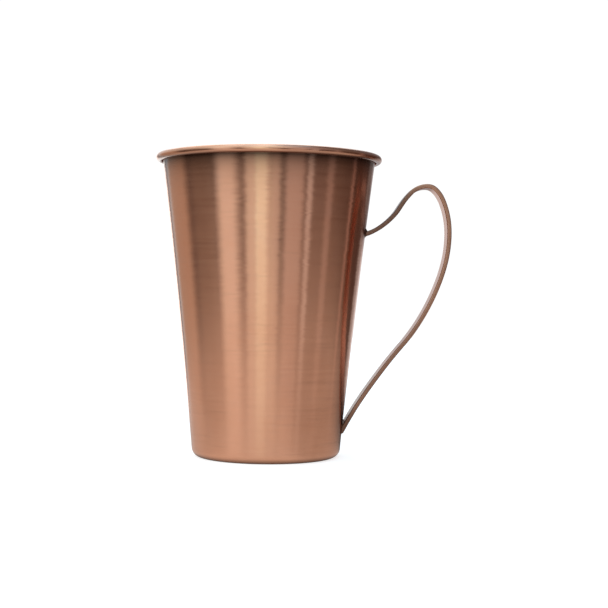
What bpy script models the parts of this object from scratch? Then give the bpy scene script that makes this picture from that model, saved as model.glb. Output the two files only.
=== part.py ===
"""Copper mug: a tapered cup spun from one sheet with a rolled-out rim, and a flat strap
handle brazed on at both ends.

World frame: metres, origin at the centre of the face the mug stands on, +Z up through
the cup's axis, +X towards the handle.
"""

import math
from contextlib import contextmanager
from typing import NamedTuple

import bmesh
import bpy

# Cup
HEIGHT = 0.140
SHEET = 0.0006  # thickness of the spun sheet
BASE_RADIUS = 0.0342  # outer wall, where its line meets the bottom
TOP_RADIUS = 0.0496  # outer wall, where its line meets the top
WALL_BOW = 0.00063  # how far the wall dips inside the straight line at half height
CORNER_RADIUS = 0.0042  # outer, from the bottom into the wall
RIM_RADIUS = 0.0018  # outer radius of the rolled curl's round section
CURL_END_DEG = -106.0  # where the curl stops, short of the wall, so it stays open
CORNER_STEPS = 6
WALL_STEPS = 7
CURL_STEPS = 15
TURNS = 64  # segments around the axis


# Handle strap
class Knot(NamedTuple):
    """A point on the strap's middle line in the XZ plane, with its Bezier handles."""

    x: float
    z: float
    heading: float  # degrees up from +X, along the line
    before: float  # reach of the handle behind the point
    after: float  # reach of the handle ahead of it


# From the upper joint to the lower one
STRAP_KNOTS = (
    Knot(0.0443, 0.1040, 6.0, 0.0010, 0.0055),
    Knot(0.0603, 0.1156, 58.0, 0.0054, 0.0040),
    Knot(0.0663, 0.1236, 46.0, 0.0040, 0.0035),
    Knot(0.0766, 0.1257, -35.0, 0.0033, 0.0041),
    Knot(0.0826, 0.1153, -74.0, 0.0041, 0.0059),
    Knot(0.0836, 0.0974, -97.0, 0.0060, 0.0075),
    Knot(0.0771, 0.0756, -114.0, 0.0076, 0.0088),
    Knot(0.0627, 0.0525, -131.0, 0.0086, 0.0086),
    Knot(0.0469, 0.0318, -125.0, 0.0086, 0.0074),
    Knot(0.0357, 0.0135, -118.0, 0.0074, 0.0010),
)
UPPER_JOINT, LOWER_JOINT = STRAP_KNOTS[0], STRAP_KNOTS[-1]
KNOT_STEPS = 6  # segments between two knots
RUN_IN = 0.0040  # straight length added past each joint, then mitred off at the wall
RUN_IN_REACH = 0.001  # both handles of the knots that end the run-ins
STRAP_WIDTH = 0.012
STRAP_THICK = 0.0020
STRAP_EDGE = 0.0004  # rounding of its long edges
END_CUT_Z = 0.0114  # the lower end is cut level here

GAP = 0.0003  # clearance between pieces that touch
WELD = 1e-6  # strap points closer than this are merged

# Braze fillets, as sections from inside the wall outwards. Columns: distance out from
# the wall, then reach beyond the strap above, below and at the sides
UPPER_FILLET = (
    (-0.0016, 0.0025, 0.0013, 0.0013),
    (0.0, 0.0024, 0.00125, 0.00125),
    (0.00035, 0.00135, 0.00095, 0.00095),
    (0.0008, 0.00085, 0.00072, 0.00072),
    (0.0015, 0.00062, 0.0006, 0.0006),
)
LOWER_FILLET = (
    (-0.0016, 0.0022, 0.0007, 0.0012),
    (0.0, 0.0021, 0.0007, 0.00115),
    (0.00035, 0.0015, 0.00066, 0.0009),
    (0.0008, 0.00105, 0.00062, 0.00072),
    (0.0013, 0.0008, 0.0006, 0.0006),
)
FILLET_CORNER_POINTS = 4
FILLET_CORNER_SHARE = 0.8  # corner radius, as a share of the smaller of side and below
FILLET_CORNER_EXTRA = 0.0003  # added to that radius
FILLET_DROP = 0.0006  # the lower fillet is cut level this far below the strap's end

# Cutters
CUP_SPACE_ROWS = 24
BLOCK_X = (0.020, 0.060)
BLOCK_Y = (-0.02, 0.02)
BLOCK_BOTTOM = -0.01


# Scene and materials


def clear_scene():
    for obj in list(bpy.data.objects):
        bpy.data.objects.remove(obj, do_unlink=True)


def new_collection(name):
    made = bpy.data.collections.new(name)
    bpy.context.scene.collection.children.link(made)
    return made


def metal(name, color, roughness):
    material = bpy.data.materials.new(name)
    material.use_nodes = True
    shader = material.node_tree.nodes["Principled BSDF"]
    shader.inputs["Base Color"].default_value = (*color, 1.0)
    shader.inputs["Metallic"].default_value = 1.0
    shader.inputs["Roughness"].default_value = roughness
    material.diffuse_color = (*color, 1.0)
    return material


# Mesh helpers


def link_object(name, data, group):
    obj = bpy.data.objects.new(name, data)
    group.objects.link(obj)
    return obj


def mesh_object(name, verts, edges, faces, group):
    mesh = bpy.data.meshes.new(name)
    mesh.from_pydata(verts, edges, faces)
    mesh.update()
    return link_object(name, mesh, group)


@contextmanager
def editing(mesh):
    """Opens a mesh as a bmesh and writes the result back."""
    edit = bmesh.new()
    edit.from_mesh(mesh)
    yield edit
    edit.to_mesh(mesh)
    edit.free()


def evaluated_mesh(obj):
    graph = bpy.context.evaluated_depsgraph_get()
    return bpy.data.meshes.new_from_object(obj.evaluated_get(graph))


def apply_modifiers(obj):
    mesh = evaluated_mesh(obj)
    obj.modifiers.clear()
    obj.data = mesh


def smooth(obj, sharp_deg):
    """Smooth shading, with edges sharper than the angle kept crisp."""
    obj.data.shade_smooth()
    obj.data.set_sharp_from_angle(angle=math.radians(sharp_deg))


def cut(obj, *cutters):
    for cutter in cutters:
        modifier = obj.modifiers.new("cut_" + cutter.name, "BOOLEAN")
        modifier.operation = "DIFFERENCE"
        modifier.solver = "EXACT"
        modifier.object = cutter
    apply_modifiers(obj)


def turned(name, outline, group, steps):
    """A solid of revolution about Z from an outline of (radius, height) that starts and
    ends on the axis."""
    verts = [(radius, 0.0, z) for radius, z in outline]
    edges = [(i, i + 1) for i in range(len(verts) - 1)]
    obj = mesh_object(name, verts, edges, [], group)
    screw = obj.modifiers.new("turn", "SCREW")
    screw.axis = "Z"
    screw.angle = 2 * math.pi
    screw.steps = screw.render_steps = steps
    screw.use_merge_vertices = True
    screw.merge_threshold = 0.00001
    screw.use_smooth_shade = True
    apply_modifiers(obj)
    return obj


# Cup


def wall_radius(z):
    """Outer radius of the wall at height z: a straight taper with a slight inward bow."""
    share = z / HEIGHT
    taper = (TOP_RADIUS - BASE_RADIUS) * share
    return BASE_RADIUS + taper - 4 * WALL_BOW * share * (1 - share)


def wall_lean(z):
    """Angle of the wall from upright at height z."""
    share = z / HEIGHT
    rise = TOP_RADIUS - BASE_RADIUS - 4 * WALL_BOW * (1 - 2 * share)
    return math.atan(rise / HEIGHT)


def sheet_middle():
    """Middle of the sheet from the centre of the bottom out, up the wall and round the
    curl: radius, height and the unit vector to its outer side."""
    half = SHEET / 2

    # Bottom, and the corner that meets the wall at its lean
    lean = wall_lean(CORNER_RADIUS)
    wall_start = CORNER_RADIUS - CORNER_RADIUS * math.sin(lean)
    corner_centre = wall_radius(wall_start) - CORNER_RADIUS * math.cos(lean)
    bend = CORNER_RADIUS - half
    rows = [(0.0, half, 0.0, -1.0), (corner_centre * 0.5, half, 0.0, -1.0)]
    for i in range(CORNER_STEPS + 1):
        angle = -math.pi / 2 + (math.pi / 2 - lean) * i / CORNER_STEPS
        out, up = math.cos(angle), math.sin(angle)
        rows.append((corner_centre + bend * out, CORNER_RADIUS + bend * up, out, up))

    # Where the curl leaves the wall
    curl = RIM_RADIUS - half
    curl_z = HEIGHT - RIM_RADIUS
    lean = wall_lean(curl_z)
    wall_end = curl_z + curl * math.sin(lean)
    curl_centre = wall_radius(wall_end) - half * math.cos(lean) + curl * math.cos(lean)

    # Wall, between the corner and the curl
    for i in range(1, WALL_STEPS):
        z = wall_start + (wall_end - wall_start) * i / WALL_STEPS
        out, up = math.cos(wall_lean(z)), -math.sin(wall_lean(z))
        rows.append((wall_radius(z) - half * out, z - half * up, out, up))

    # Curl, over the top and outwards
    start, stop = math.pi - lean, math.radians(CURL_END_DEG)
    for i in range(CURL_STEPS + 1):
        angle = start + (stop - start) * i / CURL_STEPS
        out, up = math.cos(angle), math.sin(angle)
        rows.append((curl_centre + curl * out, curl_z + curl * up, -out, -up))
    return rows


def build_cup(group, material):
    """The sheet's two sides, joined at the curl's end and closed at the axis."""
    half = SHEET / 2
    middle = sheet_middle()
    inside = [(radius - out * half, z - up * half) for radius, z, out, up in middle]
    outside = [(radius + out * half, z + up * half) for radius, z, out, up in middle]
    cup = turned("cup_body", inside + outside[::-1], group, TURNS)
    cup.data.materials.append(material)
    smooth(cup, sharp_deg=32.0)


# Handle strap


def moved_along(knot, distance):
    """A run-in's end knot: the knot slid along its own heading."""
    angle = math.radians(knot.heading)
    return Knot(
        x=knot.x + distance * math.cos(angle),
        z=knot.z + distance * math.sin(angle),
        heading=knot.heading,
        before=RUN_IN_REACH,
        after=RUN_IN_REACH,
    )


def strap_ribbon(name, group, half_width):
    """The strap's middle surface: its line drawn out to both sides along Y."""
    curve = bpy.data.curves.new(name + "_path", "CURVE")
    curve.dimensions = "2D"
    curve.fill_mode = "NONE"
    curve.extrude = half_width
    curve.resolution_u = KNOT_STEPS
    knots = [moved_along(UPPER_JOINT, -RUN_IN), *STRAP_KNOTS, moved_along(LOWER_JOINT, RUN_IN)]
    spline = curve.splines.new("BEZIER")
    spline.bezier_points.add(len(knots) - 1)
    for point, (x, z, heading, before, after) in zip(spline.bezier_points, knots):
        along_x, along_z = math.cos(math.radians(heading)), math.sin(math.radians(heading))
        point.handle_left_type = point.handle_right_type = "FREE"
        point.co = (x, z, 0)
        point.handle_left = (x - before * along_x, z - before * along_z, 0)
        point.handle_right = (x + after * along_x, z + after * along_z, 0)

    # The curve is flat in its own XY plane, so it is stood up into XZ
    path = link_object(name + "_path", curve, group)
    path.rotation_euler = (math.pi / 2, 0, 0)
    bpy.context.view_layer.update()
    mesh = evaluated_mesh(path)
    mesh.transform(path.matrix_world)
    bpy.data.objects.remove(path, do_unlink=True)
    with editing(mesh) as edit:
        bmesh.ops.remove_doubles(edit, verts=edit.verts, dist=WELD)
        bmesh.ops.dissolve_degenerate(edit, edges=edit.edges, dist=WELD)
    return mesh


def strap(name, group, half_width, thickness, edge=0.0):
    """The ribbon thickened and, if edge is given, rounded along its edges. Its ends run
    on past the joints."""
    obj = link_object(name, strap_ribbon(name, group, half_width), group)
    thick = obj.modifiers.new("thickness", "SOLIDIFY")
    thick.thickness = thickness
    thick.offset = 0.0
    if edge:
        rounding = obj.modifiers.new("edges", "BEVEL")
        rounding.width = edge
        rounding.segments = 2
        rounding.limit_method = "ANGLE"
        rounding.angle_limit = math.radians(40)
    apply_modifiers(obj)
    with editing(obj.data) as edit:
        bmesh.ops.remove_doubles(edit, verts=edit.verts, dist=WELD)
        bmesh.ops.recalc_face_normals(edit, faces=edit.faces)
    return obj


def build_handle(group, material, cutters):
    handle = strap("handle_strap", group, STRAP_WIDTH / 2, STRAP_THICK, STRAP_EDGE)
    handle.data.materials.append(material)
    cut(handle, *cutters)
    smooth(handle, sharp_deg=40.0)


# Braze fillets


def fillet_section(high, low, wide, corner):
    """A rounded rectangle of (y, height) points, reaching high above and low below."""
    points = []
    for side_y, side_up, first in ((1, 1, 0), (-1, 1, 90), (-1, -1, 180), (1, -1, 270)):
        reach = high if side_up > 0 else low
        for i in range(FILLET_CORNER_POINTS):
            angle = math.radians(first + 90 * i / (FILLET_CORNER_POINTS - 1))
            y = side_y * (wide - corner) + corner * math.cos(angle)
            points.append((y, side_up * (reach - corner) + corner * math.sin(angle)))
    return points


def fillet(name, group, joint, heading_deg, rings):
    """A collar of braze metal: sections level with the wall, wide at the wall and drawn
    in to the strap, that slide along the strap as they leave the wall. The heading is
    the strap's, away from the cup."""
    lean = wall_lean(joint.z)
    normal_x, normal_z = math.cos(lean), -math.sin(lean)
    up_x, up_z = math.sin(lean), math.cos(lean)
    strap_x, strap_z = math.cos(math.radians(heading_deg)), math.sin(math.radians(heading_deg))
    along = strap_x * normal_x + strap_z * normal_z
    climb = (strap_x * up_x + strap_z * up_z) / along
    half = STRAP_THICK / 2 / along  # half the strap's height, measured up the wall
    start = (joint.x - wall_radius(joint.z)) * normal_x

    verts = []
    for out, above, below, side in rings:
        slide = out - start
        centre_x = joint.x + normal_x * slide + up_x * climb * slide
        centre_z = joint.z + normal_z * slide + up_z * climb * slide
        corner = min(side, below) * FILLET_CORNER_SHARE + FILLET_CORNER_EXTRA
        section = fillet_section(half + above, half + below, STRAP_WIDTH / 2 + side, corner)
        for y, height in section:
            verts.append((centre_x + up_x * height, y, centre_z + up_z * height))

    count = FILLET_CORNER_POINTS * 4
    faces = []
    for ring in range(len(rings) - 1):
        for i in range(count):
            this, following = ring * count + i, ring * count + (i + 1) % count
            faces.append((this, following, following + count, this + count))
    faces.append(tuple(range(count)))
    faces.append(tuple(range((len(rings) - 1) * count, len(rings) * count)))
    obj = mesh_object(name, verts, [], faces, group)
    with editing(obj.data) as edit:
        bmesh.ops.recalc_face_normals(edit, faces=edit.faces)
    return obj


def build_fillet(name, group, material, joint, heading_deg, rings, cutters):
    lump = fillet(name, group, joint, heading_deg, rings)
    lump.data.materials.append(material)
    cut(lump, *cutters)
    smooth(lump, sharp_deg=50.0)


# Cutters


def cup_space_cutter(group):
    """The cup's outline, filled, and larger by the gap."""
    outline = [(0.0, HEIGHT)]
    for i in range(CUP_SPACE_ROWS + 1):
        z = HEIGHT * (1 - i / CUP_SPACE_ROWS)
        outline.append((wall_radius(z) + GAP / math.cos(wall_lean(z)), z))
    outline.append((0.0, 0.0))
    return turned("cup_space", outline, group, TURNS * 2)


def block_below(name, group, top):
    """A block around the strap's lower end that takes away what is below top."""
    verts = [(x, y, z) for x in BLOCK_X for y in BLOCK_Y for z in (BLOCK_BOTTOM, top)]
    faces = [
        (0, 1, 3, 2), (4, 6, 7, 5), (0, 4, 5, 1),
        (2, 3, 7, 6), (0, 2, 6, 4), (1, 5, 7, 3),
    ]
    return mesh_object(name, verts, [], faces, group)


def build_mug():
    clear_scene()
    mug = new_collection("copper_mug")
    helpers = new_collection("cutters")
    helpers.hide_render = True

    cup_copper = metal("cup_copper", color=(0.79, 0.47, 0.33), roughness=0.30)
    strap_copper = metal("strap_copper", color=(0.70, 0.40, 0.28), roughness=0.33)
    braze = metal("braze_metal", color=(0.55, 0.32, 0.20), roughness=0.42)

    build_cup(mug, cup_copper)

    cup_space = cup_space_cutter(helpers)
    below_cut = block_below("below_cut", helpers, END_CUT_Z)
    below_fillet = block_below("below_fillet", helpers, END_CUT_Z - FILLET_DROP)
    strap_space = strap("strap_space", helpers, STRAP_WIDTH / 2 + GAP, STRAP_THICK + 2 * GAP)

    build_handle(mug, strap_copper, (cup_space, below_cut))
    build_fillet(
        "upper_braze_fillet", mug, braze, UPPER_JOINT, UPPER_JOINT.heading,
        UPPER_FILLET, (cup_space, strap_space),
    )
    # The strap's line runs into the cup at the lower joint, so its heading is turned round
    build_fillet(
        "lower_braze_fillet", mug, braze, LOWER_JOINT, LOWER_JOINT.heading + 180.0,
        LOWER_FILLET, (cup_space, strap_space, below_fillet),
    )

    for helper in (cup_space, below_cut, below_fillet, strap_space):
        helper.display_type = "WIRE"
        helper.hide_render = True


build_mug()
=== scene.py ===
"""A copper mug with a strap handle, standing in a studio.

The cup is round about the Z axis and stands on z = 0. The strap lies in the XZ plane on the
+X side, brazed to the wall at both ends. The camera stands on the -Y side and looks along +Y.
Lengths are in metres and follow the height of the CAD cup through SCALE.
"""
import math

import bmesh
import bpy
from mathutils import Matrix, Vector, noise


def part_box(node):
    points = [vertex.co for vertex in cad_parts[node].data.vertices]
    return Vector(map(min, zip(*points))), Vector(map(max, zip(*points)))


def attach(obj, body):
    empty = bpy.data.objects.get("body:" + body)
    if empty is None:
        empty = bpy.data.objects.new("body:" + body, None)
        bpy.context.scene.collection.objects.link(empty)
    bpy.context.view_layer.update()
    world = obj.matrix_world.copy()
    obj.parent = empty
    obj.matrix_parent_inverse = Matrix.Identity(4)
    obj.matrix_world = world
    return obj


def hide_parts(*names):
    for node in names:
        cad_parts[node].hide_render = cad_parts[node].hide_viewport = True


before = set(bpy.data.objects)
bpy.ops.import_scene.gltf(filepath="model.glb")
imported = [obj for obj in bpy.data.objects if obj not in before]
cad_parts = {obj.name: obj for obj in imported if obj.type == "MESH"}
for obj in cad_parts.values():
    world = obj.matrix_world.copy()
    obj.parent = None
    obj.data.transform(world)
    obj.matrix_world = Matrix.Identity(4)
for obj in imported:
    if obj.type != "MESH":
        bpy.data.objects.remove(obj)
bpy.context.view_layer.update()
scene = bpy.context.scene

# ---------------------------------------------------------------- sizes
cup_low, cup_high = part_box("cup_body")
strap_low, strap_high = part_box("handle_strap")
HEIGHT = cup_high.z - cup_low.z
SCALE = HEIGHT / 0.140  # one when the cup has the height it was drawn at

RIM_OUT = cup_high.x
SHEET = 0.0006 * SCALE
HALF_SHEET = SHEET / 2
BASE_RADIUS = 0.0342 * SCALE
TOP_RADIUS = 0.0496 * SCALE
FLARE = TOP_RADIUS - BASE_RADIUS
WALL_BOW = 0.00063 * SCALE  # how far the wall sags inside a straight cone, at half height
CORNER_RADIUS = 0.0042 * SCALE
RIM_RADIUS = 0.0018 * SCALE
CURL_END = math.radians(-106.0)

STRAP_WIDTH = strap_high.y - strap_low.y
STRAP_THICK = 0.0020 * SCALE
STRAP_ROUND = 0.00052 * SCALE  # radius of the bar's four long corners
CORE_WIDTH = STRAP_WIDTH / 2 - STRAP_ROUND  # half the flat of a wide face
CORE_THICK = STRAP_THICK / 2 - STRAP_ROUND  # half the flat of a narrow edge
END_CUT_Z = strap_low.z
# middle line of the strap, top to bottom: x, z (mm), heading (degrees, from +X towards +Z),
# length of the curve handle before and after the knot (mm)
STRAP_KNOTS = (
    (44.3, 104.0, 6.0, 1.0, 5.5),
    (60.3, 115.6, 58.0, 5.4, 4.0),
    (66.3, 123.6, 46.0, 4.0, 3.5),
    (76.6, 125.7, -35.0, 3.3, 4.1),
    (82.6, 115.3, -74.0, 4.1, 5.9),
    (83.6, 97.4, -97.0, 6.0, 7.5),
    (77.1, 75.6, -114.0, 7.6, 8.8),
    (62.7, 52.5, -131.0, 8.6, 8.6),
    (46.9, 31.8, -125.0, 8.6, 7.4),
    (35.7, 13.5, -118.0, 7.4, 1.0),
)
KNOTS = [
    (x * SCALE / 1000, z * SCALE / 1000, math.radians(heading),
     before * SCALE / 1000, after * SCALE / 1000)
    for x, z, heading, before, after in STRAP_KNOTS
]

# mesh steps
CUP_TURNS, FLOOR_STEPS, CORNER_STEPS, WALL_STEPS, CURL_STEPS, LIP_STEPS = 288, 16, 18, 56, 44, 4
KNOT_STEPS, ROUND_STEPS, FACE_STEPS, EDGE_STEPS = 22, 5, 10, 3
BRAZE_TURNS, BRAZE_STEPS = 120, 10


def wall_radius(z):
    """Radius of the wall's outer face."""
    share = z / HEIGHT
    return BASE_RADIUS + FLARE * share - 4 * WALL_BOW * share * (1 - share)


def wall_lean(z):
    """Angle of the wall from upright."""
    return math.atan((FLARE - 4 * WALL_BOW * (1 - 2 * z / HEIGHT)) / HEIGHT)


# ---------------------------------------------------------------- mesh helpers
def noise_at(x, y, z):
    return noise.noise(Vector((x, y, z)))


def skin(shape, rings, closed=False):
    """Joins rings of points with quads; closed also joins the last ring to the first."""
    verts = [[shape.verts.new(point) for point in ring] for ring in rings]
    loop = verts + verts[:1] if closed else verts
    count = len(rings[0])
    for ring, following in zip(loop[:-1], loop[1:]):
        for k in range(count):
            j = (k + 1) % count
            shape.faces.new((ring[k], ring[j], following[j], following[k]))
    return verts


def smooth_outward(shape):
    bmesh.ops.recalc_face_normals(shape, faces=shape.faces)
    for face in shape.faces:
        face.smooth = True


def add_object(shape, name, sharp_degrees=None):
    mesh = bpy.data.meshes.new(name)
    shape.to_mesh(mesh)
    shape.free()
    if sharp_degrees:
        mesh.set_sharp_from_angle(angle=math.radians(sharp_degrees))
    piece = bpy.data.objects.new(name, mesh)
    scene.collection.objects.link(piece)
    return piece


def running_lengths(points):
    lengths = [0.0]
    for point, following in zip(points[:-1], points[1:]):
        lengths.append(lengths[-1] + math.dist(point, following))
    return lengths


# ---------------------------------------------------------------- the cup
def sheet_rows():
    """Middle line of the sheet, from the centre of the bottom to the free edge of the curl.

    Each row: radius, z, unit vector to the outer side (radius, z), share of the unevenness,
    and share of the way along the curl.
    """
    lean = wall_lean(CORNER_RADIUS)
    corner_top = CORNER_RADIUS - CORNER_RADIUS * math.sin(lean)
    corner_r = wall_radius(corner_top) - CORNER_RADIUS * math.cos(lean)
    rows = []
    for i in range(1, FLOOR_STEPS):
        rows.append((corner_r * i / FLOOR_STEPS, HALF_SHEET, 0.0, -1.0, 0.0, 0.0))

    reach = CORNER_RADIUS - HALF_SHEET
    for i in range(CORNER_STEPS + 1):
        share = i / CORNER_STEPS
        angle = -math.pi / 2 + (math.pi / 2 - lean) * share
        c, s = math.cos(angle), math.sin(angle)
        rows.append((corner_r + reach * c, CORNER_RADIUS + reach * s, c, s, share * 0.3, 0.0))

    curl = RIM_RADIUS - HALF_SHEET
    curl_z = HEIGHT - RIM_RADIUS
    lean = wall_lean(curl_z)
    wall_top = curl_z + curl * math.sin(lean)
    curl_r = wall_radius(wall_top) - HALF_SHEET * math.cos(lean) + curl * math.cos(lean)
    for i in range(1, WALL_STEPS):
        share = i / WALL_STEPS
        z = corner_top + (wall_top - corner_top) * share
        c, s = math.cos(wall_lean(z)), -math.sin(wall_lean(z))
        uneven = min(1.0, 0.3 + share * 3)
        rows.append((wall_radius(z) - HALF_SHEET * c, z - HALF_SHEET * s, c, s, uneven, 0.0))

    start = math.pi - lean
    for i in range(CURL_STEPS + 1):
        share = i / CURL_STEPS
        angle = start + (CURL_END - start) * share
        c, s = math.cos(angle), math.sin(angle)
        rows.append((curl_r + curl * c, curl_z + curl * s, -c, -s, 1.0, share))
    return rows


def lip_rows(last_row):
    """The rounded cut that closes the curl's free edge."""
    r, z, normal_r, normal_z, uneven, curl = last_row
    rows = []
    for i in range(1, LIP_STEPS):
        angle = -math.pi / 2 + math.pi * i / LIP_STEPS
        across = HALF_SHEET * math.sin(angle)
        ahead = HALF_SHEET * 0.8 * math.cos(angle)
        row_r = r + normal_r * across - normal_z * ahead
        row_z = z + normal_z * across + normal_r * ahead
        rows.append((row_r, row_z, 0.0, 0.0, uneven, curl))
    return rows


def unevenness(theta, z):
    """How far the spun wall strays from true: slow dents, small ripples, a slight oval."""
    at = Vector((math.cos(theta) * 1.5, math.sin(theta) * 1.5, z / SCALE * 22))
    dents = noise.noise(at) * 0.000022
    ripples = noise.noise(at * 3.1 + Vector((7, 3, 1))) * 0.000006
    oval = 0.00003 * math.cos(2 * theta + 0.7) * (z / HEIGHT)
    return (dents + ripples + oval) * SCALE


def cup_ring(row, side):
    """Ring of points on the outer (1) or inner (-1) face of the sheet, or at its middle (0)."""
    row_r, row_z, normal_r, normal_z, uneven, curl = row
    lip_push = 0.00003 * SCALE if curl > 0.93 and side > 0 else 0.0
    wander_reach = 0.00004 * SCALE * curl * curl
    ring = []
    for k in range(CUP_TURNS):
        theta = 2 * math.pi * k / CUP_TURNS
        c, s = math.cos(theta), math.sin(theta)
        z = row_z + side * normal_z * HALF_SHEET
        push = unevenness(theta, z) * uneven * (1 - 0.5 * curl) + lip_push
        z -= noise_at(c * 2.2, s * 2.2, 5.0) * wander_reach * normal_z
        r = min(row_r + side * normal_r * HALF_SHEET + push, RIM_OUT)
        ring.append((r * c, r * s, max(0.0, min(z, HEIGHT))))
    return ring


def build_cup():
    rows = sheet_rows()
    rings = [cup_ring(row, -1) for row in rows]
    rings += [cup_ring(row, 0) for row in lip_rows(rows[-1])]
    rings += [cup_ring(row, 1) for row in reversed(rows)]
    shape = bmesh.new()
    verts = skin(shape, rings)
    for ring, z in ((verts[0], SHEET), (verts[-1], 0.0)):
        centre = shape.verts.new((0, 0, z))
        for k in range(CUP_TURNS):
            shape.faces.new((ring[k], ring[(k + 1) % CUP_TURNS], centre))
    smooth_outward(shape)
    return add_object(shape, "cup_copper_shell")


# ---------------------------------------------------------------- the strap
# corners of the bar's cross-section as signs of (y, depth); depth is positive on the strap's
# outer face and negative on the face towards the cup
CORNERS = ((1, 1), (-1, 1), (-1, -1), (1, -1))
CORNER_PAIRS = tuple(zip(CORNERS, CORNERS[1:] + CORNERS[:1]))


def strap_line():
    """Points on the strap's middle line: x, z, heading."""
    points = []
    for knot, following in zip(KNOTS[:-1], KNOTS[1:]):
        p0, p3 = Vector(knot[:2]), Vector(following[:2])
        p1 = p0 + knot[4] * Vector((math.cos(knot[2]), math.sin(knot[2])))
        p2 = p3 - following[3] * Vector((math.cos(following[2]), math.sin(following[2])))
        for i in range(KNOT_STEPS):
            t = i / KNOT_STEPS
            u = 1 - t
            at = u ** 3 * p0 + 3 * u * u * t * p1 + 3 * u * t * t * p2 + t ** 3 * p3
            slope = 3 * u * u * (p1 - p0) + 6 * u * t * (p2 - p1) + 3 * t * t * (p3 - p2)
            points.append((at.x, at.y, math.atan2(slope.y, slope.x)))
    points.append(KNOTS[-1][:3])
    return points


def strap_section():
    """Closed outline of the bar as (y, depth)."""
    points = []
    for n, ((y_sign, depth_sign), (next_y, next_depth)) in enumerate(CORNER_PAIRS):
        y, depth = y_sign * CORE_WIDTH, depth_sign * CORE_THICK
        for i in range(ROUND_STEPS + 1):
            angle = math.radians(90 * n + 90 * i / ROUND_STEPS)
            points.append((y + STRAP_ROUND * math.cos(angle),
                           depth + STRAP_ROUND * math.sin(angle)))
        if n % 2 == 0:  # a wide face follows
            run = next_y * CORE_WIDTH - y
            for i in range(1, FACE_STEPS):
                points.append((y + run * i / FACE_STEPS, depth_sign * STRAP_THICK / 2))
        else:  # a narrow edge follows
            run = next_depth * CORE_THICK - depth
            for i in range(1, EDGE_STEPS):
                points.append((y_sign * STRAP_WIDTH / 2, depth + run * i / EDGE_STEPS))
    return points


def slide_to_wall(x, y, z, dx, dz, clearance, low_limit=None):
    """Slides a point along (dx, dz) to the wall's outer face, or to the level end cut."""
    outside, inside = -0.006 * SCALE, 0.012 * SCALE
    for _ in range(40):
        middle = (outside + inside) / 2
        if math.hypot(x + dx * middle, y) - wall_radius(z + dz * middle) > clearance:
            outside = middle
        else:
            inside = middle
    travel = outside
    if low_limit is not None and z + dz * travel < low_limit:
        travel = (low_limit - z) / dz
    return x + dx * travel, y, z + dz * travel


def strap_ring(section, x, z, heading, length):
    """The section set across the middle line, with hand-filed waviness."""
    along = length / SCALE
    ring = []
    for y, depth in section:
        wander = noise_at(along * 45, 0 if y > 0 else 9, 0 if depth > 0 else 4)
        ripple = noise_at(along * 60, y / SCALE * 90, 2.0)
        wavy_y = y * (1 + wander * 0.00004 * SCALE / STRAP_WIDTH * 2)
        wavy_y = max(-STRAP_WIDTH / 2, min(STRAP_WIDTH / 2, wavy_y))
        wavy_depth = depth + ripple * 0.00001 * SCALE
        ring.append((x - math.sin(heading) * wavy_depth, wavy_y,
                     z + math.cos(heading) * wavy_depth))
    return ring


def blend_rings(ring, other, share):
    return [tuple(a + (b - a) * share for a, b in zip(*pair)) for pair in zip(ring, other)]


def add_strap_uv(shape, verts, rings, section):
    """UV map in metres: distance along the strap and distance round its section."""
    layer = shape.loops.layers.uv.new("along")
    distance = running_lengths([ring[0] for ring in rings])
    around = running_lengths(section + section[:1])
    count = len(section)
    place = {vert: (n, k) for n, ring in enumerate(verts) for k, vert in enumerate(ring)}
    for face in shape.faces:
        columns = [place[loop.vert][1] for loop in face.loops]
        at_seam = max(columns) - min(columns) > count / 2
        for loop in face.loops:
            n, k = place[loop.vert]
            loop[layer].uv = (distance[n], around[count if at_seam and k == 0 else k])


def build_strap():
    # the middle line starts and ends inside the wall, so it is trimmed and run in to the wall
    line = [at for at in strap_line() if at[0] > wall_radius(at[1]) + 0.0012 * SCALE]
    lengths = running_lengths([at[:2] for at in line])
    section = strap_section()
    rings = [strap_ring(section, *at, length) for at, length in zip(line, lengths)]

    gap = 0.00002 * SCALE
    dx, dz = -math.cos(line[0][2]), -math.sin(line[0][2])
    first = [slide_to_wall(*point, dx, dz, gap) for point in rings[0]]
    dx, dz = math.cos(line[-1][2]), math.sin(line[-1][2])
    last = [slide_to_wall(*point, dx, dz, gap, END_CUT_Z) for point in rings[-1]]
    head = [blend_rings(first, rings[0], share) for share in (0.0, 0.33, 0.66)]
    tail = [blend_rings(rings[-1], last, share) for share in (0.33, 0.66, 1.0)]
    rings = head + rings + tail

    shape = bmesh.new()
    verts = skin(shape, rings)
    shape.faces.new(verts[0])
    shape.faces.new(verts[-1])
    smooth_outward(shape)
    add_strap_uv(shape, verts, rings, section)
    return add_object(shape, "strap_copper_bar", sharp_degrees=50)


# ---------------------------------------------------------------- the braze fillets
def bar_outline(share):
    """Point (y, depth) at this share of the way round the bar, and its outward direction."""
    bend_length = math.pi / 2 * STRAP_ROUND
    left = share * 4 * (CORE_WIDTH + CORE_THICK + bend_length)
    for n, (start, end) in enumerate(CORNER_PAIRS):
        flat = 2 * (CORE_WIDTH, CORE_THICK)[n % 2]
        if left <= flat + bend_length:
            break
        left -= flat + bend_length
    slide = min(left / flat, 1.0)
    bend = max(0.0, (left - flat) / bend_length)
    angle = math.radians(90 * (n + 1 + bend))
    out = (math.cos(angle), math.sin(angle))
    y = CORE_WIDTH * (start[0] + (end[0] - start[0]) * slide) + STRAP_ROUND * out[0]
    depth = CORE_THICK * (start[1] + (end[1] - start[1]) * slide) + STRAP_ROUND * out[1]
    return y, depth, out


def spread(values, out):
    """Mixes (above, side, below) values by outward direction."""
    above, side, below = values
    up = max(0.0, out[1]) ** 2
    down = max(0.0, -out[1]) ** 2
    return above * up + below * down + side * out[0] ** 2


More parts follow.
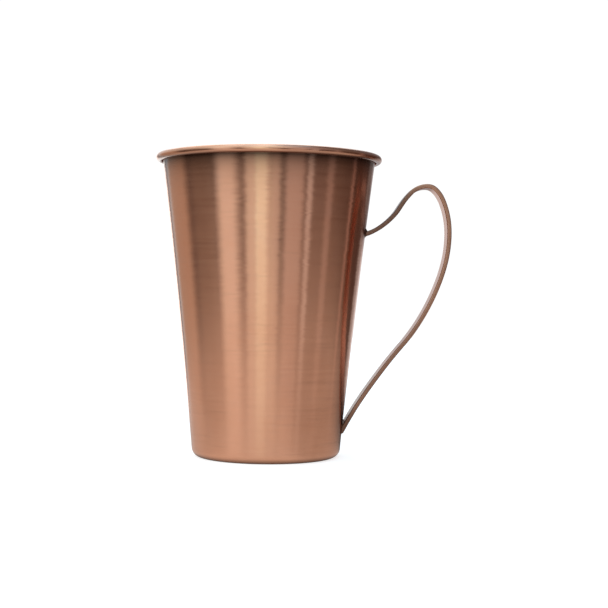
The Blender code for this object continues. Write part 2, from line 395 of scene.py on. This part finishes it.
def braze_line(share, joint, reach, climb, seed):
    """One line of the fillet, from under the wall's face, over the foot, to inside the bar."""
    joint_x, joint_z, heading = joint
    y, depth, out = bar_outline(share)
    along = Vector((math.cos(heading), math.sin(heading)))
    normal = Vector((-along.y, along.x))
    across, deep = y / SCALE, depth / SCALE
    lump = (1 + 0.28 * noise_at(across * 420, deep * 420, seed)
            + 0.12 * noise_at(across * 1300, deep * 1300, seed + 4))

    # the foot, where this line of the bar meets the wall
    stand_off = 0.004 * SCALE
    foot = Vector(slide_to_wall(
        joint_x + normal.x * depth + along.x * stand_off, y,
        joint_z + normal.y * depth + along.y * stand_off, -along.x, -along.y, 0.0))

    # out over the wall from the foot
    lean = wall_lean(joint_z)
    theta = math.atan2(foot.y, foot.x)
    up_wall = Vector((math.sin(lean) * math.cos(theta), math.sin(lean) * math.sin(theta),
                      math.cos(lean)))
    round_wall = Vector((-math.sin(theta), math.cos(theta), 0))
    direction = (round_wall * out[0] + up_wall * out[1]).normalized()
    wall_end = foot + direction * (spread(reach, out) * lump)
    theta = math.atan2(wall_end.y, wall_end.x)
    outward = Vector((math.cos(theta), math.sin(theta), 0))
    wall_r = wall_radius(max(0.0, wall_end.z))
    wall_end = Vector((wall_r * outward.x, wall_r * outward.y, wall_end.z))

    # concave curve from the wall to the bar, its two ends sunk in the copper
    bar_end = foot + Vector((along.x, 0, along.y)) * (spread(climb, out) * lump)
    off_bar = Vector((normal.x * out[1], out[0], normal.y * out[1])).normalized()
    sunk = 0.00012 * SCALE
    line = [wall_end - outward * sunk]
    for i in range(BRAZE_STEPS + 1):
        t = i / BRAZE_STEPS
        point = wall_end.lerp(foot, t).lerp(foot.lerp(bar_end, t), t)
        swell = math.sin(math.pi * t) * 0.00006 * SCALE
        line.append(point + (outward + off_bar).normalized() * (swell - 0.00001 * SCALE))
    line.append(bar_end - off_bar * sunk)
    for point in line:
        point.z = max(point.z, END_CUT_Z - 0.0004 * SCALE)
    return line


def build_braze(name, joint, reach, climb, seed):
    """A lumpy concave fillet round the bar.

    joint is x, z and the bar's heading away from the wall. reach (over the wall) and climb
    (along the bar) are in millimetres of the drawn size: above, at the sides, below.
    """
    reach = [value * 0.001 * SCALE for value in reach]
    climb = [value * 0.001 * SCALE for value in climb]
    lines = [braze_line((k + 0.5) / BRAZE_TURNS, joint, reach, climb, seed)
             for k in range(BRAZE_TURNS)]
    shape = bmesh.new()
    skin(shape, list(zip(*lines)), closed=True)
    smooth_outward(shape)
    return add_object(shape, name, sharp_degrees=60)


# ---------------------------------------------------------------- node helpers
class Nodes:
    """Short calls for filling an emptied node tree. Colours are given as (r, g, b)."""

    def __init__(self, tree):
        self.tree = tree
        tree.nodes.clear()

    def add(self, kind, inputs=None, **settings):
        """Adds a node; inputs maps a socket's name or number to a value or a socket."""
        node = self.tree.nodes.new(kind)
        for key, value in settings.items():
            setattr(node, key, value)
        for key, value in (inputs or {}).items():
            socket = node.inputs[key]
            if isinstance(value, bpy.types.NodeSocket):
                self.tree.links.new(value, socket)
            else:
                socket.default_value = (*value, 1.0) if socket.type == "RGBA" else value
        return node

    def math(self, operation, *values):
        inputs = dict(enumerate(values))
        return self.add("ShaderNodeMath", inputs, operation=operation).outputs[0]

    def times(self, first, *others):
        for other in others:
            first = self.math("MULTIPLY", first, other)
        return first

    def plus(self, first, *others):
        for other in others:
            first = self.math("ADD", first, other)
        return first

    def vector(self, operation, *values, output="Vector"):
        inputs = dict(enumerate(values))
        return self.add("ShaderNodeVectorMath", inputs, operation=operation).outputs[output]

    def scale(self, vector, factor):
        inputs = {0: vector, "Scale": factor}
        return self.add("ShaderNodeVectorMath", inputs, operation="SCALE").outputs[0]

    def distance(self, vector, point):
        return self.vector("DISTANCE", vector, point, output="Value")

    def noise(self, vector, scale=1.0, detail=2.0, rough=0.5, distortion=0.0):
        return self.add("ShaderNodeTexNoise", {
            "Vector": vector, "Scale": scale, "Detail": detail, "Roughness": rough,
            "Distortion": distortion}).outputs["Fac"]

    def remap(self, value, over, to=(0.0, 1.0), kind="LINEAR"):
        """Maps the range over to the range to, clamped."""
        return self.add("ShaderNodeMapRange", {
            "Value": value, "From Min": over[0], "From Max": over[1], "To Min": to[0],
            "To Max": to[1]}, interpolation_type=kind).outputs["Result"]

    def ease(self, value, over, to=(0.0, 1.0)):
        """A remap with soft ends."""
        return self.remap(value, over, to, kind="SMOOTHSTEP")

    def combine(self, x, y, z):
        return self.add("ShaderNodeCombineXYZ", {0: x, 1: y, 2: z}).outputs[0]

    def split(self, vector):
        return self.add("ShaderNodeSeparateXYZ", {0: vector}).outputs

    def radius(self, x, y):
        return self.math("SQRT", self.plus(self.times(x, x), self.times(y, y)))

    def mix(self, amount, base, other, blend="MIX"):
        return self.add("ShaderNodeMix", {"Factor": amount, 6: base, 7: other},
                        data_type="RGBA", blend_type=blend).outputs[2]

    def mix_values(self, amount, base, other):
        return self.add("ShaderNodeMix", {"Factor": amount, 2: base, 3: other},
                        data_type="FLOAT").outputs[0]

    def layers(self, base, *coats):
        """Lays coats of (amount, colour) over the base colour, in order."""
        for amount, colour in coats:
            base = self.mix(amount, base, colour)
        return base

    def bearing(self, x, y):
        """Share of a full turn about Z: 0.5 towards -Y, more on the +X side."""
        turn = self.math("ARCTAN2", x, self.times(y, -1.0))
        return self.plus(self.math("DIVIDE", turn, 2 * math.pi), 0.5)

    def bearing_ramp(self, bearing, stops):
        """Colours set by bearing; stops are (degrees from -Y, colour)."""
        node = self.add("ShaderNodeValToRGB", {0: bearing})
        elements = node.color_ramp.elements
        while len(elements) > 1:
            elements.remove(elements[-1])
        elements[0].position = bearing_share(stops[0][0])
        elements[0].color = (*stops[0][1], 1.0)
        for degrees, colour in stops[1:]:
            elements.new(bearing_share(degrees)).color = (*colour, 1.0)
        return node.outputs[0]

    def object_coords(self):
        return self.add("ShaderNodeTexCoord").outputs["Object"]

    def bump(self, height):
        """Relief with its height in metres."""
        return self.add("ShaderNodeBump", {"Distance": 1.0, "Height": height}).outputs[0]

    def metal(self, inputs):
        shader = self.add("ShaderNodeBsdfPrincipled", {"Metallic": 1.0, **inputs})
        self.add("ShaderNodeOutputMaterial", {"Surface": shader.outputs[0]})

    def by_viewer(self, reflected, seen):
        """One shader for the camera's own rays and another for all the rest."""
        camera_ray = self.add("ShaderNodeLightPath").outputs["Is Camera Ray"]
        inputs = {0: camera_ray, 1: reflected.outputs[0], 2: seen.outputs[0]}
        return self.add("ShaderNodeMixShader", inputs).outputs[0]


def bearing_share(degrees):
    return (degrees + 180) / 360


def new_material(name):
    material = bpy.data.materials.new(name)
    material.use_nodes = True
    return material, Nodes(material.node_tree)


# ---------------------------------------------------------------- materials
UPPER_JOINT = (wall_radius(0.104 * SCALE), 0.0, 0.104 * SCALE)
LOWER_JOINT = (wall_radius(0.0136 * SCALE), 0.0, 0.0136 * SCALE)
GRAIN_TURN = 0.25  # anisotropic rotation that lays highlights across the grain


def cup_outside(net, radius, z):
    """One on the wall's outer face, nought inside the cup."""
    share = net.math("DIVIDE", z, HEIGHT)
    cone = net.math("MULTIPLY_ADD", share, FLARE, BASE_RADIUS)
    bow = net.times(share, net.math("SUBTRACT", 1.0, share), 4 * WALL_BOW)
    past_wall = net.math("SUBTRACT", radius, net.math("SUBTRACT", cone, bow))
    return net.remap(past_wall, over=(-0.0004 * SCALE, -0.0002 * SCALE))


def cup_rim_shadow(net, z, outside):
    """Painted shade masks: on the wall close under the bead, where the bead shades it, and on the
    bead's lower half.
    """
    below = net.math("SUBTRACT", HEIGHT - 2 * RIM_RADIUS, z)
    fall_off = -0.0056 * SCALE  # depth over which the painted shade fades by a factor of e
    depth = net.math("DIVIDE", net.math("MAXIMUM", below, 0.0), fall_off)
    painted_rim_shade = net.times(net.math("POWER", 2.718, depth), outside,
                          net.ease(below, over=(-0.0006 * SCALE, 0.0002 * SCALE)))
    low_half = net.remap(z, over=(HEIGHT - 2 * RIM_RADIUS, HEIGHT - RIM_RADIUS), to=(0.60, 0.0))
    on_bead = net.remap(below, over=(0.0, -0.0002 * SCALE))
    return painted_rim_shade, net.times(low_half, net.times(outside, on_bead))


def cup_heat(net, coords, outside, blotch):
    """Brazing stains round the two joints; the lower one is stretched upward."""
    x, y, z = net.split(coords)
    upper = net.ease(net.distance(coords, UPPER_JOINT),
                     over=(0.004 * SCALE, 0.017 * SCALE), to=(1.0, 0.0))
    squeeze = 0.45
    low_centre = (LOWER_JOINT[0], 0.0, squeeze * 0.020 * SCALE)
    low_coords = net.combine(x, y, net.times(z, squeeze))
    lower = net.ease(net.distance(low_coords, low_centre),
                     over=(0.0045 * SCALE, 0.0125 * SCALE), to=(1.0, 0.0))
    both = net.math("MAXIMUM", net.times(upper, 0.6), lower)
    return net.times(both, outside, net.remap(blotch, over=(0.30, 0.70), to=(0.75, 1.0)))


def cup_bend_shade(net, angle, z, outside, cloud):
    """Painted shade on the wall behind the strap's upper bend."""
    behind = net.ease(net.math("ABSOLUTE", angle),
                      over=(math.radians(9), math.radians(27)), to=(1.0, 0.0))
    band = net.times(net.ease(z, over=(0.0985 * SCALE, 0.1045 * SCALE)),
                     net.ease(z, over=(0.120 * SCALE, 0.134 * SCALE), to=(1.0, 0.25)))
    return net.times(behind, band, outside,
                     net.remap(cloud, over=(0.25, 0.65), to=(0.70, 1.0)))


def cup_material():
    """Copper brushed round the cup: the grain runs level, so highlights draw out up and down."""
    material, net = new_material("cup_brushed_copper")
    coords = net.object_coords()
    x, y, z = net.split(coords)
    radius = net.radius(x, y)
    angle = net.math("ARCTAN2", y, x)
    cosine, sine = net.math("COSINE", angle), net.math("SINE", angle)
    # across the grain: height on the wall, radius on the flat bottom and floor
    normal_z = net.split(net.add("ShaderNodeNewGeometry").outputs["True Normal"])[2]
    flat = net.ease(net.math("ABSOLUTE", normal_z), over=(0.80, 0.95))
    profile = net.mix_values(flat, z, radius)

    def ring_noise(level, around, density, **texture):
        """Noise stretched round the cup: frequency round it, and per metre of level."""
        at = net.combine(net.times(cosine, around), net.times(sine, around),
                         net.times(level, density / SCALE))
        return net.noise(at, **texture)

    fine = ring_noise(profile, around=2.2, density=2600.0, detail=3.0, rough=0.65)
    coarse = ring_noise(profile, around=1.1, density=700.0, detail=3.0, rough=0.6)
    bands = ring_noise(profile, around=0.35, density=120.0)
    cloud = ring_noise(z, around=1.6, density=26.0, detail=4.0, rough=0.55, distortion=0.4)
    blotch = net.noise(coords, scale=85.0 / SCALE, detail=3.0, rough=0.6, distortion=0.3)

    outside = cup_outside(net, radius, z)
    # painted shade under the rim and on the bead's lower half
    painted_rim_shade, painted_bead_shade = cup_rim_shadow(net, z, outside)
    heat = cup_heat(net, coords, outside, blotch)
    # painted shade on the wall behind the strap's upper bend
    bend_shade = cup_bend_shade(net, angle, z, outside, cloud)
    on_curl = net.times(
        net.remap(radius, over=(TOP_RADIUS + 0.0001 * SCALE, TOP_RADIUS + 0.0008 * SCALE)),
        net.remap(z, over=(HEIGHT - 0.005 * SCALE, HEIGHT - 0.004 * SCALE)))

    copper = (0.88, 0.43, 0.275)
    color = net.layers(
        copper,
        # clouds of tarnish and small handling marks
        (net.remap(cloud, over=(0.32, 0.70)), (0.84, 0.385, 0.235)),
        (net.times(net.remap(blotch, over=(0.55, 0.8)), 0.25), (0.78, 0.40, 0.29)),
        # bright fine scratches, dark coarse ones
        (net.remap(fine, over=(0.30, 0.72), to=(0.0, 0.16)), (0.93, 0.56, 0.40)),
        (net.times(net.remap(coarse, over=(0.55, 0.78)), 0.18), (0.56, 0.28, 0.18)),
        # painted shade under the rim and on the bead's lower half, painted shade behind the
        # strap's upper bend, then brazing heat
        (net.times(painted_rim_shade, 0.95), (0.035, 0.022, 0.018)),
        (painted_bead_shade, (0.045, 0.026, 0.020)),
        (net.times(bend_shade, 0.72), (0.20, 0.085, 0.06)),
        (net.times(heat, 0.80), (0.16, 0.08, 0.06)),
    )
    # the grazing sheen is dulled by brazing heat and darkened by the painted shade behind the
    # strap's bend
    dull_and_shade_mask = net.math("MAXIMUM", net.times(bend_shade, 0.85), heat)
    clean_tint, dull_and_shade_tint = (1.0, 1.0, 1.0), (0.30, 0.22, 0.20)
    wall_rough = net.plus(
        net.remap(coarse, over=(0.25, 0.75), to=(0.195, 0.25)),
        net.remap(cloud, over=(0.3, 0.7), to=(-0.02, 0.03)),
        net.times(heat, 0.06))
    curl_rough = 0.22
    less_grain = net.math("MAXIMUM", flat, net.times(on_curl, 0.6))
    wall_grain, flat_grain = 1.0, 0.55  # anisotropy

    # depth of each grain, in metres
    relief = net.plus(net.times(fine, 0.0000010), net.times(coarse, 0.0000034),
                      net.times(bands, 0.0000060))
    # chatter tips the surface round the cup, so tall highlights get a combed edge
    tangent = net.add("ShaderNodeTangent", direction_type="RADIAL", axis="Z").outputs[0]
    chatter = ring_noise(profile, around=2.6, density=1900.0, rough=0.7)
    chatter = net.math("SUBTRACT", chatter, 0.5)  # centred on nought
    tip_size = net.remap(outside, over=(0.0, 1.0), to=(0.012, 0.070))
    tip = net.scale(tangent, net.times(chatter, tip_size))
    tipped = net.vector("ADD", net.bump(net.times(relief, SCALE)), tip)
    net.metal({
        "Base Color": color,
        "Specular Tint": net.mix(dull_and_shade_mask, clean_tint, dull_and_shade_tint),
        "Roughness": net.mix_values(on_curl, wall_rough, curl_rough),
        "Anisotropic": net.mix_values(less_grain, wall_grain, flat_grain),
        "Anisotropic Rotation": GRAIN_TURN,
        "Tangent": tangent,
        "Normal": net.vector("NORMALIZE", tipped),
    })
    return material


def strap_heat(net, coords, along, edge, blotch):
    """Brazing heat at both ends; at the upper end it reaches further on the narrow edges."""
    on_edges = net.times(
        net.ease(along, over=(0.022 * SCALE, 0.042 * SCALE), to=(1.0, 0.0)), edge, 0.90)
    on_faces = net.ease(along, over=(0.016 * SCALE, 0.034 * SCALE), to=(0.92, 0.0))
    lower = net.ease(net.distance(coords, LOWER_JOINT),
                     over=(0.004 * SCALE, 0.015 * SCALE), to=(1.0, 0.0))
    both = net.math("MAXIMUM", net.math("MAXIMUM", on_edges, on_faces), lower)
    return net.times(both, net.remap(blotch, over=(0.3, 0.7), to=(0.85, 1.0)))


def strap_material():
    """Copper bar brushed along its length, its narrow edges rougher than its faces."""
    material, net = new_material("strap_brushed_copper")
    uv = net.add("ShaderNodeUVMap", uv_map="along").outputs[0]
    coords = net.object_coords()
    along, around, _ = net.split(uv)
    _, y, z = net.split(coords)

    def long_noise(length_density, width_density, offset, **texture):
        """Noise stretched along the bar; densities are per metre."""
        at = net.combine(net.times(along, length_density / SCALE),
                         net.times(around, width_density / SCALE), offset)
        return net.noise(at, **texture)

    fine = long_noise(length_density=55.0, width_density=5200.0, offset=0.0,
                      detail=3.0, rough=0.6)
    coarse = long_noise(length_density=25.0, width_density=1500.0, offset=3.0, rough=0.6)
    blotch = net.noise(coords, scale=110.0 / SCALE, detail=4.0, rough=0.6, distortion=0.4)
    lumps = net.noise(coords, scale=420.0 / SCALE, detail=3.0, rough=0.6)

    across = net.math("ABSOLUTE", net.math("DIVIDE", y, STRAP_WIDTH / 2))
    edge = net.ease(across, over=(0.955, 0.995))
    heat = strap_heat(net, coords, along, edge, blotch)
    # darker towards the bottom
    darker_low_down = net.ease(z, over=(0.040 * SCALE, 0.092 * SCALE), to=(1.0, 0.0))
    # the wide face towards the cup, which gets painted shade
    inner = net.times(net.remap(around, over=(0.0138 * SCALE, 0.0146 * SCALE)),
                      net.remap(around, over=(0.0251 * SCALE, 0.0257 * SCALE), to=(1.0, 0.0)))
    # painted shade low on the face towards the cup, by the lower joint
    low_inner_shade = net.times(
        inner, net.ease(z, over=(0.024 * SCALE, 0.052 * SCALE), to=(0.85, 0.0)))
    # painted shade on the wide faces near the upper end, which darkens their reflection in the
    # wall
    upper_face_shade = net.times(net.ease(along, over=(0.020 * SCALE, 0.050 * SCALE), to=(0.84, 0.0)),
                      net.math("SUBTRACT", 1.0, edge))
    copper = (0.55, 0.255, 0.165)
    color = net.layers(
        copper,
        # blotches, bright fine scratches, dark coarse ones
        (net.remap(blotch, over=(0.35, 0.72)), (0.45, 0.205, 0.13)),
        (net.remap(fine, over=(0.35, 0.75), to=(0.0, 0.18)), (0.80, 0.50, 0.36)),
        (net.times(net.remap(coarse, over=(0.55, 0.8)), 0.30), (0.36, 0.18, 0.12)),
        # narrow edges; painted shade on the face towards the cup; darker towards the bottom
        (net.times(edge, 0.10), (0.62, 0.33, 0.24)),
        (net.times(inner, 0.80), (0.22, 0.095, 0.07)),
        (net.times(darker_low_down, 0.62), (0.25, 0.130, 0.095)),
        # heat at both ends; painted shade low on the inner face; painted shade on the wide faces
        # at the upper end
        (net.times(heat, 0.88), (0.14, 0.072, 0.053)),
        (low_inner_shade, (0.045, 0.030, 0.026)),
        (upper_face_shade, (0.060, 0.026, 0.020)),
    )
    # depth of each grain, in metres
    relief = net.plus(net.times(fine, 0.0000012), net.times(coarse, 0.000003),
                      net.times(lumps, 0.000006))
    tangent = net.add("ShaderNodeTangent", direction_type="UV_MAP", uv_map="along")
    net.metal({
        "Base Color": color,
        "Specular Tint": (1.0, 0.90, 0.86),
        "Roughness": net.plus(net.remap(coarse, over=(0.3, 0.75), to=(0.20, 0.28)),
                              net.times(heat, 0.05), net.times(edge, 0.12)),
        "Anisotropic": 0.5,
        "Anisotropic Rotation": GRAIN_TURN,
        "Tangent": tangent.outputs[0],
        "Normal": net.bump(net.times(relief, SCALE)),
    })
    return material


def braze_material():
    """Braze as it froze: duller, darker and blotchier than the sheet."""
    material, net = new_material("braze_as_flowed")
    coords = net.object_coords()
    blotch = net.noise(coords, scale=900.0 / SCALE, detail=4.0, rough=0.6, distortion=0.5)
    pits = net.noise(coords, scale=2600.0 / SCALE, detail=3.0, rough=0.7)
    light_braze, dark_braze, speck = (0.34, 0.19, 0.125), (0.15, 0.085, 0.062), (0.60, 0.44, 0.34)
    blotch_depth, pit_depth = 0.00003 * SCALE, 0.000012 * SCALE
    net.metal({
        "Base Color": net.layers(
            light_braze,
            (net.remap(blotch, over=(0.35, 0.68)), dark_braze),
            (net.remap(pits, over=(0.62, 0.80), to=(0.0, 0.6)), speck)),
        "Roughness": net.remap(pits, over=(0.3, 0.75), to=(0.30, 0.50)),
        "Normal": net.bump(net.plus(net.times(blotch, blotch_depth),
                                    net.times(pits, pit_depth))),
    })
    return material


# ---------------------------------------------------------------- studio light
# Soft boxes and panels stood in a ring, with dark cloth between them:
# degrees round from the camera (minus to its left), half width, fade at each side, light
STANDS = (
    (180, 10, 20, (0.60, 0.60, 0.62)),  # white wall behind
    (-167, 6, 5, (0.80, 0.86, 0.84)),  # strip behind, left
    (-148, 2, 5, (0.15, 0.30, 0.40)),  # blue-white strip
    (-128, 14, 16, (0.36, 0.33, 0.28)),  # warm panel, left
    (-80, 10, 8, (0.05, 0.05, 0.04)),  # grey cloth, left
    (-48, 5, 13, (0.66, 0.75, 0.76)),  # soft box, front left
    (-13.5, 9, 7, (0.58, 0.68, 0.67)),  # soft box by the camera
    (-8.5, 3.5, 4.5, (0.28, 0.58, 0.48)),  # key strip in front of it
    (8, 2, 4, (0.38, 0.40, 0.40)),  # grey panel
    (29, 7, 6, (0.36, 0.38, 0.40)),  # grey panel, front right
    (46.5, 1, 4, (0.50, 0.60, 0.68)),  # strip, front right
    (72, 1.5, 5, (0.21, 0.21, 0.23)),  # strip, right
    (107, 1, 2.5, (0.24, 0.19, 0.19)),  # slit, right
    (154, 8, 6, (0.32, 0.36, 0.38)),  # backdrop behind, right
)
LOW_STAND = 154  # this one is only a low strip along the floor
CLOTH = (0.075, 0.045, 0.035)
# light high up: degrees round, light
OVERHEAD = (
    (-180, (0.90, 1.05, 1.15)),
    (-130, (0.60, 0.72, 0.78)),
    (-80, (0.45, 0.52, 0.54)),
    (-55, (0.95, 1.20, 1.30)),
    (-30, (0.70, 0.85, 0.92)),
    (-12, (1.05, 1.40, 1.50)),
    (5, (0.85, 1.15, 1.25)),
    (25, (0.52, 0.62, 0.72)),
    (45, (0.34, 0.36, 0.42)),
    (90, (0.14, 0.14, 0.14)),
    (130, (0.12, 0.13, 0.16)),
    (160, (0.20, 0.22, 0.24)),
    (170, (0.60, 0.68, 0.74)),
    (180, (0.90, 1.05, 1.15)),
)
# raised round soft boxes: degrees round, degrees up, half width in degrees, light
BOXES = (
    (-176, 46, 22, (0.70, 0.95, 1.10)),
    (-95, 52, 18, (0.30, 0.38, 0.42)),
    (0, 78, 24, (0.15, 0.35, 0.55)),
)
BOX_FADE = 8


def stand_lights(net, turn, up):
    sides = CLOTH
    for around, half, fade, colour in STANDS:
        away = net.math("ABSOLUTE", net.math("SUBTRACT", turn, bearing_share(around)))
        if abs(around) > 120:  # may reach across the seam behind the mug
            away = net.math("MINIMUM", away, net.math("SUBTRACT", 1.0, away))
        inside = net.ease(away, over=(half / 360, (half + fade) / 360), to=(1.0, 0.0))
        if around == LOW_STAND:
            low = net.ease(net.math("ARCSINE", up),
                           over=(math.radians(-1), math.radians(3)), to=(1.0, 0.0))
            inside = net.times(inside, low)
        sides = net.vector("MULTIPLY_ADD", inside, colour, sides)
    return sides


def build_studio():
    """Node group that gives the studio's light in any direction."""
    group = bpy.data.node_groups.new("studio_light", "ShaderNodeTree")
    group.interface.new_socket("Direction", in_out="INPUT", socket_type="NodeSocketVector")
    group.interface.new_socket("Light", in_out="OUTPUT", socket_type="NodeSocketColor")
    net = Nodes(group)
    direction = net.add("NodeGroupInput").outputs[0]
    x, y, up = net.split(direction)
    turn = net.bearing(x, y)
    above = net.bearing_ramp(turn, OVERHEAD)
    sides = stand_lights(net, turn, up)
    elevation = net.math("ARCSINE", up)
    # the stands brighten upward, and give way to the overhead light
    gain = net.ease(elevation, over=(math.radians(12), math.radians(45)), to=(1.0, 1.25))
    over_stands = net.ease(elevation, over=(math.radians(2.5), math.radians(16)))
    light = net.mix(over_stands, net.scale(sides, gain), above)
    for around, raised, half, colour in BOXES:
        a, e = math.radians(around), math.radians(raised)
        centre = (math.sin(a) * math.cos(e), -math.cos(a) * math.cos(e), math.sin(e))
        toward = net.vector("DOT_PRODUCT", direction, centre, output="Value")
        inside = net.ease(toward, over=(math.cos(math.radians(half + BOX_FADE)),
                                        math.cos(math.radians(half))))
        light = net.mix(1.0, light, net.scale(colour, inside), blend="ADD")
    net.add("NodeGroupOutput", {0: light})
    return group


def studio_light(net, direction):
    return net.add("ShaderNodeGroup", {0: direction}, node_tree=studio).outputs[0]


# ---------------------------------------------------------------- floor
# The mug reflects a pale table of limited size; past it, it sees the studio.
TABLE_EDGE = (0.15 * SCALE, 0.42 * SCALE)  # distances over which the table gives way
# degrees round from the camera, brightness
TABLE = (
    (-180, 0.62), (-120, 0.60), (-70, 0.64), (-35, 0.78), (-10, 0.70), (20, 0.68), (40, 0.56),
    (90, 0.54), (108, 0.42), (122, 0.24), (138, 0.14), (152, 0.42), (180, 0.62),
)
POOL_LIGHT = (0.90, 0.96, 0.90)


def light_pool(net, x, y):
    """A long pool of light on the table towards the camera, its right-hand edge the harder."""
    ahead = net.times(y, -1.0)
    # each edge is a line: x = ahead * slope + start
    right_slope, right_start, right_limit = 0.10, 0.020 * SCALE, 0.037 * SCALE
    left_slope, left_start = -0.20, -0.004 * SCALE
    right = net.math("MULTIPLY_ADD", ahead, right_slope, right_start)
    right = net.math("MINIMUM", right, right_limit)
    left = net.math("MULTIPLY_ADD", ahead, left_slope, left_start)
    return net.times(
        net.remap(net.math("SUBTRACT", x, right), over=(0.004 * SCALE, -0.004 * SCALE)),
        net.ease(net.math("SUBTRACT", x, left), over=(-0.012 * SCALE, 0.012 * SCALE)),
        net.remap(ahead, over=(0.030 * SCALE, 0.045 * SCALE)),
        net.remap(ahead, over=(0.45 * SCALE, 1.0 * SCALE), to=(1.0, 0.3)),
        net.remap(ahead, over=(0.06 * SCALE, 0.26 * SCALE), to=(0.12, 0.9)))


def floor_material():
    """Reflections see the painted table and studio; the camera sees a plain pale floor."""
    material, net = new_material("studio_floor")
    x, y, _ = net.split(net.object_coords())
    away = net.radius(x, y)
    stops = [(degrees, (v, v * 0.985, v * 0.95)) for degrees, v in TABLE]  # slightly warm
    table = net.bearing_ramp(net.bearing(x, y), stops)
    near_shade = net.remap(away, over=(0.11 * SCALE, 0.22 * SCALE), to=(0.46, 0.60))
    table = net.mix(1.0, table, near_shade, blend="MULTIPLY")
    table = net.mix(1.0, table, table, blend="ADD")  # doubled
    # the table reaches about a third further on the right
    rightward = net.remap(net.math("DIVIDE", x, away), over=(0.3, 0.9))
    reach = net.math("MULTIPLY_ADD", rightward, 0.32, 1.0)
    past = net.ease(net.math("DIVIDE", away, reach), over=TABLE_EDGE)
    incoming = net.add("ShaderNodeNewGeometry").outputs["Incoming"]
    ground = net.mix(past, table, studio_light(net, net.scale(incoming, -1.0)))
    ground = net.mix(light_pool(net, x, y), ground, POOL_LIGHT)
    # painted shadow under the mug
    shade = net.ease(away, over=(BASE_RADIUS - 0.004 * SCALE, BASE_RADIUS + 0.003 * SCALE),
                     to=(0.06, 1.0))
    glow = net.add("ShaderNodeEmission", {"Color": ground, "Strength": shade})
    matt = net.add("ShaderNodeBsdfDiffuse", {"Color": (0.60, 0.60, 0.60)})
    lift = net.add("ShaderNodeEmission", {"Strength": 0.74})
    seen = net.add("ShaderNodeAddShader", {0: matt.outputs[0], 1: lift.outputs[0]})
    net.add("ShaderNodeOutputMaterial", {"Surface": net.by_viewer(glow, seen)})
    return material


def build_floor():
    shape = bmesh.new()
    bmesh.ops.create_grid(shape, x_segments=2, y_segments=2, size=1.6)
    floor = add_object(shape, "studio_floor")
    floor.location.z = -0.00002  # just clear of the mug's bottom
    floor.data.materials.append(floor_material())


# ---------------------------------------------------------------- world, camera, render
def build_world():
    """The studio's light for the mug, near-white for the camera."""
    world = bpy.data.worlds.new("studio")
    scene.world = world
    world.use_nodes = True
    net = Nodes(world.node_tree)
    direction = net.add("ShaderNodeTexCoord").outputs["Generated"]
    light = net.add("ShaderNodeBackground", {"Color": studio_light(net, direction)})
    white = net.add("ShaderNodeBackground", {"Color": (1, 1, 1), "Strength": 1.05})
    net.add("ShaderNodeOutputWorld", {"Surface": net.by_viewer(light, white)})
    world.cycles.sampling_method = "MANUAL"
    world.cycles.sample_map_resolution = 1024


def build_camera():
    distance, eye_height = 0.61817 * SCALE, 0.0768 * SCALE
    yaw, pitch, roll = 0.027528, -0.00916, 0.012186  # radians
    forward = Vector((math.sin(yaw) * math.cos(pitch), math.cos(yaw) * math.cos(pitch),
                      math.sin(pitch)))
    level = Vector((math.cos(yaw), -math.sin(yaw), 0))
    upward = level.cross(forward)
    right = math.cos(roll) * level + math.sin(roll) * upward
    top = -math.sin(roll) * level + math.cos(roll) * upward
    data = bpy.data.cameras.new("camera")
    camera = bpy.data.objects.new("camera", data)
    scene.collection.objects.link(camera)
    basis = Matrix((right, top, -forward)).transposed().to_4x4()
    camera.matrix_world = Matrix.Translation(Vector((0, -distance, eye_height))) @ basis
    data.sensor_width = 36.0
    data.lens = 78.4030263
    data.clip_start = 0.01
    scene.camera = camera


def set_render():
    view = scene.view_settings
    view.view_transform = "Standard"
    view.look = "None"
    view.exposure = 0.0
    view.gamma = 1.0
    cycles = scene.cycles
    cycles.max_bounces = 10
    cycles.glossy_bounces = 8
    cycles.diffuse_bounces = 3
    cycles.caustics_reflective = True
    cycles.blur_glossy = 0.0
    cycles.sample_clamp_indirect = 6.0


# ---------------------------------------------------------------- assembly
def install(piece, material, node):
    """Gives a piece its material and puts it in place of a CAD node."""
    piece.data.materials.append(material)
    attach(piece, "root")
    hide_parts(node)


install(build_cup(), cup_material(), "cup_body")
install(build_strap(), strap_material(), "handle_strap")

braze = braze_material()
upper = build_braze("upper_braze_bead", joint=KNOTS[0][:3],
                    reach=(1.5, 0.75, 0.9), climb=(0.9, 0.6, 0.7), seed=1.0)
foot_x, foot_z, foot_heading = KNOTS[-1][:3]
lower = build_braze("lower_braze_bead", joint=(foot_x, foot_z, foot_heading + math.pi),
                    reach=(1.9, 0.75, 0.5), climb=(1.6, 0.6, 0.4), seed=5.0)
install(upper, braze, "upper_braze_fillet")
install(lower, braze, "lower_braze_fillet")

studio = build_studio()
build_floor()
build_world()
build_camera()
set_render()
